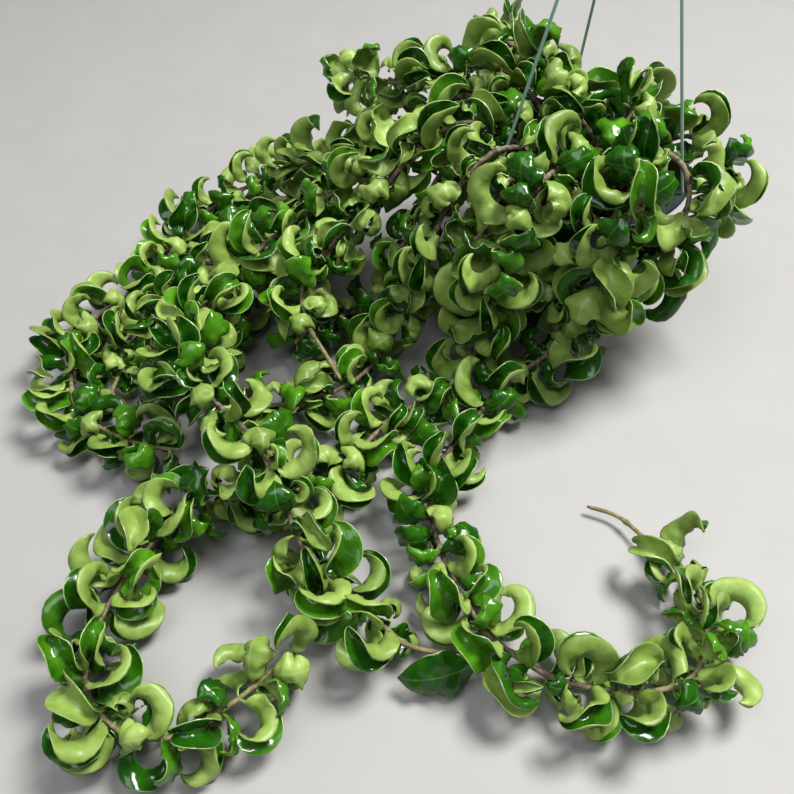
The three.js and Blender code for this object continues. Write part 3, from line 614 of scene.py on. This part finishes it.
def bend_blade(recipe, root, outward, tangent, u, s):
    """Points of the bent blade at u along it (0 stalk, 1 tip) and s across it (-1 to 1), and its upward
    directions there. A negative u lies on the stalk."""
    lean, roll = math.radians(recipe["lean"]), math.radians(recipe["roll"])
    ahead = outward * math.cos(lean) + tangent * math.sin(lean)
    up = tangent * math.cos(lean) - outward * math.sin(lean)
    up = up * math.cos(roll) + cross(ahead, up) * math.sin(roll)
    across = cross(ahead, up)
    bend, more = math.radians(recipe["bend"]), math.radians(recipe["more"])
    middles = (np.arange(RIB_STEPS) + 0.5) / RIB_STEPS
    turns = bend * middles + more * middles**2
    step = recipe["length"] / RIB_STEPS
    knots = np.arange(RIB_STEPS + 1) / RIB_STEPS
    on = np.maximum(u, 0)
    y = LEAF["stalk"] + np.interp(on, knots, np.concatenate([[0], np.cumsum(step * np.cos(turns))]))
    y = y + np.minimum(u, 0) * recipe["length"]
    z = -np.interp(on, knots, np.concatenate([[0], np.cumsum(step * np.sin(turns))]))
    turn = (bend * on + more * on**2)[:, None]
    forward = ahead * np.cos(turn) - up * np.sin(turn)
    normal = up * np.cos(turn) + ahead * np.sin(turn)
    twist = (math.radians(recipe["twist"]) * on)[:, None]
    wide = across * np.cos(twist) + normal * np.sin(twist)
    above = cross(wide, forward)
    # the stalk is round and straight; the fold and the cup set in over the first eighth of the blade
    settled = np.clip(u / 0.12, 0, 1)
    q = np.abs(s)
    ripple = np.sin(math.radians(recipe["phase"]) + 9.5 * u + np.where(s < 0, 2.1, 0.0))
    fold = math.radians(recipe["fold"]) * settled
    steepest = math.radians(LEAF["steepest"])
    edge = math.radians(recipe["fold"] + recipe["cup"]) + math.radians(recipe["wave"]) * ripple * q
    cup = np.clip(edge, -steepest, steepest) * settled - fold
    cup = np.where(np.abs(cup) < 0.02, 0.02, cup)
    half = recipe["half"] * np.maximum(np.sin(np.pi * on**0.86), 0) ** (0.58 + 0.3 * on)
    half = np.where(u < 0.02, STALK_RADIUS, np.maximum(half, 0.12))
    x = half * (np.sin(fold + cup * q) - np.sin(fold)) / cup
    h = half * (np.cos(fold) - np.cos(fold + cup * q)) / cup
    signed = np.sign(s)
    points = (root + ahead * y[:, None] + up * z[:, None] + wide * (signed * x)[:, None]
              - above * h[:, None])
    tilt = fold * np.minimum(q / 0.15, 1) + cup * q
    ups = above * np.cos(tilt)[:, None] + wide * (signed * np.sin(tilt))[:, None]
    return points, ups, settled


# %% [markdown]
# Leaves must not grow through each other, the stems, the wires or the pot. Each leaf is tried as a few
# dozen points spread over its blade, and every point has to be clear of all the points that are already
# taken. The points are kept in small boxes of space, so that only near ones are compared. A leaf that
# doesn't fit is tried on the stem's other sides and then smaller.

# %% Keep track of the space that is taken
CLEAR = {"others": 6.5, "own": 4.1, "stem": 5.5, "stalk": 3, "floor": 0.6, "cell": 10,
         "rim": 8, "wall": 3.5, "wall_inside": 6, "soil": 2.5}
# how far along a packed leaf each of its sections lies, and how thick a flat one is at the midrib
ROWS = [[0.27, 2.2], [0.55, 2.2], [0.8, 1.8]]
PROBE_U = np.array([u for u, _ in ROWS for _ in range(3)] + [1.0])
PROBE_S = np.array([0.0, -1.0, 1.0] * len(ROWS) + [0.0])


class Taken:
    def __init__(self):
        self.boxes = {}

    def box_of(self, p):
        return tuple(math.floor(v / CLEAR["cell"]) for v in p)

    def add(self, p, node, kind):
        self.boxes.setdefault(self.box_of(p), []).append((p[0], p[1], p[2], node, kind))

    def free(self, p, node, ease):
        i, j, k = self.box_of(p)
        px, py, pz = p
        for a in (i - 1, i, i + 1):
            for b in (j - 1, j, j + 1):
                for c in (k - 1, k, k + 1):
                    for x, y, z, owner, kind in self.boxes.get((a, b, c), ()):
                        if owner == node:
                            reach = CLEAR["stalk"] if kind == "stem" else CLEAR["own"] * ease
                        else:
                            reach = CLEAR["stem"] if kind == "stem" else CLEAR["others"] * ease
                        if (px - x)**2 + (py - y)**2 + (pz - z)**2 < reach * reach:
                            return False
        return True


def clear_of_pot(p):
    x, y, z = p
    if z < CLEAR["floor"]:
        return False
    r = math.hypot(x, y)
    if z > height + CLEAR["rim"] / 2:
        return True
    if math.hypot(r - (top + rim) / 2, z - (height - flange / 2)) < CLEAR["rim"]:
        return False
    side = base + (top - base) * z / height
    if r > side + CLEAR["wall"] and (z < height - CLEAR["rim"] or r > rim + CLEAR["wall"]):
        return True
    return r < side - CLEAR["wall_inside"] and z > SOIL_TOP + CLEAR["soil"]


def leaf_probes(recipe, root, outward, tangent):
    """Points spread over a leaf, close enough together to tell whether it would touch something."""
    points, ups, _ = bend_blade(recipe, root, outward, tangent, PROBE_U, PROBE_S)
    rows = [np.array([root] * 3)]
    for i, (_, thin) in enumerate(ROWS):
        middle, left, right = points[3 * i:3 * i + 3]
        slant = math.dist(left, middle) + math.dist(right, middle)
        thick = min(thin * slant / math.dist(left, right), LEAF["thickest"])
        rows.append(np.array([left, middle - ups[3 * i] * thick / 2, right]))
    rows.append(np.array([points[-1]] * 3))
    probes = []
    for i in range(len(rows) - 1):
        for t in ((0.5, 0.75, 1.0) if i == 0 else (1 / 3, 2 / 3, 1.0)):
            left, middle, right = rows[i] + (rows[i + 1] - rows[i]) * t
            probes += [middle, left, right]
            if t < 1 or i + 2 < len(rows):
                probes += [(left + middle) / 2, (right + middle) / 2]
    return np.array(probes).tolist()


# %% [markdown]
# Leaves grow in pairs at joints, each pair a quarter turn from the last. First come the leaves that the
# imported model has, drawn with the same numbers in the same order, so that each lies on its solid. The
# model holds only about two fifths of what the plant bears, so a second round adds pairs at the joints and
# halfway between them, wherever there is room.

# %% Set the leaves along the stems
TAKEN_STEP = 4
SUNK = 4
ABOVE_ALL_LEAVES = 330
taken = Taken()
vines = []
for node, (name, vine) in enumerate(VINES.items()):
    x, y = vine["root"]
    foot = [[x, y, FOOT["z"] + part * FOOT["straight"]] for part in (0, 0.5, 1)]
    stems = [dict(vine, line=foot + vine["line"], first=STEM["first"], rooted=True)]
    stems += [dict(shoot, first=STEM["first_on_shoot"], rooted=False) for shoot in vine["shoots"]]
    for stem in stems:
        stem["course"] = Course(stem["line"])
        stem["joints"] = []
        for s in np.arange(0, stem["course"].total, TAKEN_STEP):
            point = stem["course"].at(s)[0]
            if point[2] >= SOIL_TOP - SUNK or math.hypot(point[0], point[1]) >= rim:
                taken.add(point.tolist(), node, "stem")
    vines.append({"name": name, "node": node, "stems": stems, "leaves": []})
for degrees, above in zip(WIRE["angles"], SEEN["above"]):
    path = np.array(wire_path(degrees), float)
    low, high = path[5], path[7]
    for z in np.arange(low[2], ABOVE_ALL_LEAVES, TAKEN_STEP):
        on_wire = low + (high - low) * (z - low[2]) / (high[2] - low[2])
        taken.add(on_wire.tolist(), -1, "stem")
        # the leaves leave this stretch of the wire open to view from the front
        reach = SEEN["reach"] if above < z < SEEN["below"] else 0
        for out in np.arange(SEEN["step"], reach, SEEN["step"]):
            taken.add((on_wire + unit(np.array(SEEN["from"]) - on_wire) * out).tolist(), -1, "stem")


def grow(vine, place, angle, used, facets, recipe_at, ease=1.0):
    """Sets one leaf at its largest size that is clear of all else on one of these sides of the stem."""
    root, tangent, side = place
    other = cross(tangent, side)
    for scale in (1, 0.88, 0.76, 0.64, 0.52):
        recipe = recipe_at(scale)
        for facet in facets:
            if facet in used:
                continue
            heading = math.radians(angle + 90 * facet)
            outward = side * math.cos(heading) + other * math.sin(heading)
            probes = leaf_probes(recipe, root, outward, tangent)
            if all(clear_of_pot(p) and taken.free(p, vine["node"], ease) for p in probes):
                for p in probes:
                    taken.add(p, vine["node"], "leaf")
                used.add(facet)
                vine["leaves"].append((recipe, root, outward, tangent))
                return


def recipes_of(draws, size):
    return lambda scale: leaf_recipe(draws, size * scale)


# ten numbers for each leaf of a pair, and one for how far the pair is turned
DRAWS = 21
BARE_END = {"joint": 6, "leaf": 4}
TURNED_BY = {"modelled": 50, "added": 90}
ADDED_SIZE = 0.94
# an added leaf may come nearer to others, and may sit halfway between two of the stem's four sides
EASE = 0.6
ROUND_ABOUT = [0, 2, 1, 3, 0.5, 2.5, 1.5, 3.5]
for vine in vines:
    for which, stem in enumerate(vine["stems"]):
        random = seeded(7919 * (vine["node"] + 1) + 104729 * which)
        course = stem["course"]
        first, last = stem["leaf"]
        s, i = stem["first"], 0
        while s < course.total - BARE_END["joint"]:
            draws = [next(random) for _ in range(DRAWS)]
            stem["joints"].append(s)
            if s < course.total - stem["bare"] - BARE_END["leaf"]:
                size = first + (last - first) * s / course.total
                angle = 90 * (i % 2) + TURNED_BY["modelled"] * (draws[20] - 0.5)
                used, place = set(), course.at(s)
                grow(vine, place, angle, used, [0, 1, 3, 2], recipes_of(draws[:10], size))
                grow(vine, place, angle, used, [2, 3, 1, 0], recipes_of(draws[10:20], size))
            elif i == stem.get("lone", {}).get("joint"):
                lone = stem["lone"]
                grow(vine, course.at(s), lone["heading"], set(), [0], lambda scale: lone["recipe"])
            s, i = s + STEM["pitch"], i + 1
modelled = sum(len(vine["leaves"]) for vine in vines)
for vine in vines:
    for which, stem in enumerate(vine["stems"]):
        random = seeded(15485863 + 7919 * (vine["node"] + 1) + 104729 * which)
        course = stem["course"]
        first, last = stem["leaf"]
        s, i = stem["first"] - STEM["pitch"] / 2, 0
        while s < course.total - stem["bare"] - BARE_END["leaf"]:
            draws = [next(random) for _ in range(DRAWS)]
            size = ADDED_SIZE * (first + (last - first) * s / course.total)
            angle = 90 * ((i + 1) % 2) + TURNED_BY["added"] * (draws[20] - 0.5)
            used, place = set(), course.at(s)
            grow(vine, place, angle, used, ROUND_ABOUT, recipes_of(draws[:10], size), EASE)
            grow(vine, place, angle, used, ROUND_ABOUT[::-1], recipes_of(draws[10:20], size), EASE)
            s, i = s + STEM["pitch"] / 2, i + 1
print(modelled, "leaves as in the packed model,", sum(len(v["leaves"]) for v in vines) - modelled, "more")

# %% [markdown]
# One blank leaf is modelled and then copied. It is a tube pressed flat: a circle is extruded along the
# blade, its x is how far across the blade a point lies, its y how far along, and its z which face it is
# on. Its faces already know the glossy side from the pale one. Each copy is then bent by its own recipe.

# %% Model the blank leaf
AROUND = 16
BLANK_ROWS = [-2, 0, 0.03] + [0.08 + 0.06 * k for k in range(15)] + [0.97, 1]
UPPER, LOWER, BARK = 0, 1, 2
bm = bmesh.new()
rings = extrude_rings(bm, AROUND, len(BLANK_ROWS))
for (ring, _), row in zip(rings, BLANK_ROWS):
    for v in ring:
        v.co = (v.co.x, row, v.co.y)
for _, edges in (rings[0], rings[-1]):
    bmesh.ops.edgenet_fill(bm, edges=edges)
bmesh.ops.recalc_face_normals(bm, faces=bm.faces)
across_and_along = bm.loops.layers.uv.new("across_and_along")
for face in bm.faces:
    face.material_index = UPPER if face.calc_center_median().z > 0 else LOWER
    for loop in face.loops:
        loop[across_and_along].uv = (loop.vert.co.x / 2 + 0.5, max(loop.vert.co.y, 0))
blank = bpy.data.meshes.new("blank_leaf")
bm.to_mesh(blank)
bm.free()
flat = np.empty(len(blank.vertices) * 3)
blank.vertices.foreach_get("co", flat)
BLANK_S, BLANK_U, BLANK_H = flat.reshape(-1, 3).T
print("one leaf has", sum(len(p.vertices) - 2 for p in blank.polygons), "triangles")


# %% [markdown]
# A leaf of this plant is fleshy, about one and a half millimetres thick, with a soft edge. The midrib is a
# groove above and a low ridge below, and the blade between is puckered. The thickness and the puckers are
# laid on along the blade's own upward direction, after the bending.

# %% Bend one copy of the blank
RIB_WIDTH = 0.22
GROOVE = 0.6
GROUND = 0.05


def leaf_points(recipe, root, outward, tangent):
    stalk_step = (LEAF["stalk"] - 1) / 2 / recipe["length"]
    u = np.where(BLANK_U < 0, BLANK_U * stalk_step, BLANK_U)
    points, ups, settled = bend_blade(recipe, root, outward, tangent, u, BLANK_S)
    rib = np.exp(-(BLANK_S / RIB_WIDTH) ** 2)
    body = (0.85 + 0.4 * rib * (BLANK_H < 0)) * (1.15 - 0.45 * np.clip(u, 0, 1))
    half_thick = STALK_RADIUS * (1 - settled) + body * settled
    face = np.sign(BLANK_H) * np.abs(BLANK_H) ** (1 - 0.5 * settled)
    lift = half_thick * face - GROOVE * rib * (BLANK_H > 0.1) * settled
    phase = math.radians(recipe["phase"])
    q = np.abs(BLANK_S)
    side = np.where(BLANK_S < 0, 2.4, 0.0)
    # the puckers fade out over the last stretch of the blade
    fade = settled * np.clip((1 - u) / 0.15, 0, 1)
    flare = np.sin(np.pi * np.clip(q, 0, 1) ** 0.8) * fade
    pucker = 1.15 * np.sin(3 * phase + side + 26 * u - 5 * q) * flare
    pucker += 0.9 * np.sin(recipe["roll"] + 11 * u + side) * q * (1 - q**2) * settled
    pucker += 0.8 * np.sin(recipe["twist"] + 17 * u + side) * q**3 * fade
    lift += pucker * recipe["length"] / LEAF["length"]
    points = points + ups * lift[:, None]
    # a leaf that would dip into the ground lies on it
    points[:, 2] = np.maximum(points[:, 2], GROUND)
    return points


# %% [markdown]
# The upper face is coated with a thick wax: deep green, smooth and glossy. The midrib and the very edge
# are paler. leaf_tone is a number stored on each leaf, so that young leaves come out lighter than old ones.

# %% The leaf's upper face: waxed cuticle
def leaf_parts(tree):
    """How far a point is from the midrib, 0 there and 1 at the edge, and the leaf's own tone."""
    place = add_node(tree, "ShaderNodeUVMap", {"uv_map": "across_and_along"}).outputs["UV"]
    parts = add_node(tree, "ShaderNodeSeparateXYZ", None, {"Vector": place})
    q = add_node(tree, "ShaderNodeMath", {"operation": "SUBTRACT", 1: 0.5}, {0: parts.outputs["X"]})
    q = add_node(tree, "ShaderNodeMath", {"operation": "ABSOLUTE"}, {0: q.outputs[0]})
    q = add_node(tree, "ShaderNodeMath", {"operation": "MULTIPLY", 1: 2.0}, {0: q.outputs[0]})
    tone = add_node(tree, "ShaderNodeAttribute", {"attribute_name": "leaf_tone"}).outputs["Fac"]
    return q.outputs[0], tone


leaf_upper, tree, shader = new_material("hoya_leaf_waxed_upper_face", {"Roughness": 0.18, "IOR": 1.5})
off_rib, tone = leaf_parts(tree)
blotch = ramp(tree, grain(tree, 11, 3), 0.3, 0.7)
deep = blend_colours(tree, blotch, "#154305", "#245f0a")
young = blend_colours(tree, blotch, "#3b740c", "#56941c")
colour = blend_colours(tree, ramp(tree, tone, 0.35, 1.0), deep, young)
colour = blend_colours(tree, ramp(tree, off_rib, 0.07, 0.0), colour, "#43801c")
colour = blend_colours(tree, ramp(tree, off_rib, 0.95, 0.99), colour, "#b3cc8c")
tree.links.new(colour, shader.inputs["Base Color"])
add_bump(tree, shader, grain(tree, 3.5, 2), 0.12, 0.5)

# %% [markdown]
# The underside has much less wax and far more air in its tissue, so it is a pale yellow green with a dull
# gloss, a little mottled, and lighter along the midrib.

# %% The leaf's underside
leaf_lower, tree, shader = new_material("hoya_leaf_pale_underside", {"Roughness": 0.4, "IOR": 1.45})
off_rib, tone = leaf_parts(tree)
mottle = ramp(tree, grain(tree, 8, 4), 0.25, 0.75)
old = blend_colours(tree, mottle, "#66842f", "#829d4a")
fresh = blend_colours(tree, mottle, "#8ba94b", "#a3bd63")
colour = blend_colours(tree, tone, old, fresh)
ridge = ramp(tree, off_rib, 0.1, 0.0)
ridge = add_node(tree, "ShaderNodeMath", {"operation": "MULTIPLY", 1: 0.3}, {0: ridge})
colour = blend_colours(tree, ridge.outputs[0], colour, "#b9cc8a")
tree.links.new(colour, shader.inputs["Base Color"])
add_bump(tree, shader, grain(tree, 2.5, 3), 0.15, 0.6)

# %% [markdown]
# The stems turn woody with age: grey brown bark with fine cracks, and olive where they are young.

# %% The stems' bark
bark, tree, shader = new_material("hoya_stem_bark", {"Roughness": 0.72})
age = add_node(tree, "ShaderNodeAttribute", {"attribute_name": "leaf_tone"}).outputs["Fac"]
streak = ramp(tree, grain(tree, 4, 6), 0.35, 0.65)
old = blend_colours(tree, streak, "#4e3f33", "#8a7a66")
green = blend_colours(tree, streak, "#6e6740", "#948c5c")
colour = blend_colours(tree, ramp(tree, age, 0.6, 1.0), old, green)
tree.links.new(colour, shader.inputs["Base Color"])
add_bump(tree, shader, grain(tree, 1.6, 6), 0.4)


# %% [markdown]
# A stem is drawn along its course as a round bar that swells at each joint, where the leaf pairs sit.

# %% Build each vine
AROUND_STEM = 10
# a stem is slimmer than its solid between the joints, and about as thick as its solid at each of them
BETWEEN_JOINTS = 0.78
SWELLING = {"high": 0.75, "long": 1.9}


def add_stem(bm, stem):
    """Draws one stem, and gives how far towards its tip each of its vertices is."""
    course = stem["course"]
    stops = set(np.arange(0, course.total, 5.0)) | {course.total}
    for joint in stem["joints"]:
        stops |= {joint + d for d in (-3, -1.5, 0, 1.5, 3)}
    stops = sorted(s for s in stops if 0 <= s <= course.total)
    radii = []
    for s in stops:
        slim = BETWEEN_JOINTS * (STEM["thick"] + (STEM["thin"] - STEM["thick"]) * s / course.total)
        near = min([abs(s - joint) for joint in stem["joints"]] or [9])
        end = min(1, 0.55 + (course.total - s) / 6)
        start = 1 if stem["rooted"] else min(1, 0.5 + s / 6)
        swelling = SWELLING["high"] * math.exp(-(near / SWELLING["long"]) ** 2)
        radii.append((slim + swelling) * end * start)
    for face in draw_along(bm, [course.at(s)[0] for s in stops], radii, AROUND_STEM):
        face.material_index = BARK
    return [s / course.total for s in stops for _ in range(AROUND_STEM)]


LEAF_MATERIALS = [leaf_upper, leaf_lower, bark]
for vine in vines:
    random = seeded(6007 * (vine["node"] + 1))
    bm = bmesh.new()
    tones = []
    for stem in vine["stems"]:
        tones += add_stem(bm, stem)
    first_leaf = len(tones)
    for _ in vine["leaves"]:
        bm.from_mesh(blank)
        tones += [next(random)] * len(blank.vertices)
    piece = finish_piece(bm, f"leafy_vine_{vine['name']}", LEAF_MATERIALS, [f"vine_{vine['name']}"])
    mesh = piece.data
    places = np.empty(len(mesh.vertices) * 3)
    mesh.vertices.foreach_get("co", places)
    places = places.reshape(-1, 3)
    for i, leaf in enumerate(vine["leaves"]):
        at = first_leaf + i * len(blank.vertices)
        places[at:at + len(blank.vertices)] = leaf_points(*leaf) * MM
    mesh.vertices.foreach_set("co", places.ravel())
    mesh.attributes.new("leaf_tone", "FLOAT", "POINT").data.foreach_set("value", tones)
    mesh.update()

# %% [markdown]
# The plant stands on a plain pale floor under soft studio light: one large light high on the right, a
# larger and weaker one from the front left, and a dim even sky that fills the shadows.

# %% The floor and the light
floor_paint, tree, shader = new_material("floor_matt_pale", {"Roughness": 0.6})
colour = blend_colours(tree, grain(tree, 60, 5), "#a2a19f", "#abaaa8")
tree.links.new(colour, shader.inputs["Base Color"])
bm = bmesh.new()
bmesh.ops.create_grid(bm, x_segments=2, y_segments=2, size=5)
floor_mesh = bpy.data.meshes.new("studio_floor")
bm.to_mesh(floor_mesh)
bm.free()
floor_mesh.materials.append(floor_paint)
floor_piece = bpy.data.objects.new("studio_floor", floor_mesh)
bpy.context.collection.objects.link(floor_piece)
floor_piece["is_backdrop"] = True


def area_light(name, place, aim, size, watts, colour):
    data = bpy.data.lights.new(name, "AREA")
    data.size = size
    data.energy = watts
    data.color = linear(colour)[:3]
    light = bpy.data.objects.new(name, data)
    light.location = place
    light.rotation_euler = (Vector(aim) - Vector(place)).to_track_quat("-Z", "Y").to_euler()
    bpy.context.collection.objects.link(light)


MIDDLE_OF_PLANT = (-0.15, -0.1, 0.05)
area_light("soft_key", (0.95, 0.3, 2.5), MIDDLE_OF_PLANT, 0.9, 112, "#fffdfa")
area_light("soft_fill", (-0.7, -0.8, 2.2), MIDDLE_OF_PLANT, 1.5, 24, "#f8faff")
sky = bpy.data.worlds.new("even_sky")
bpy.context.scene.world = sky
sky.use_nodes = True
background = sky.node_tree.nodes["Background"]
background.inputs["Color"].default_value = linear("#eceef0")
background.inputs["Strength"].default_value = 0.12
bpy.context.scene.view_settings.view_transform = "Standard"

# %% [markdown]
# Last, the size of the dressed model is printed beside the imported model's, to compare the two.

# %% Print the sizes and finish
boxes = {"cad": cad_box, "visual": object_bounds()}
plain = {name: [[float(v) for v in corner] for corner in box] for name, box in boxes.items()}
for name, box in plain.items():
    print(name, "box in mm:", [[round(v / MM) for v in corner] for corner in box])
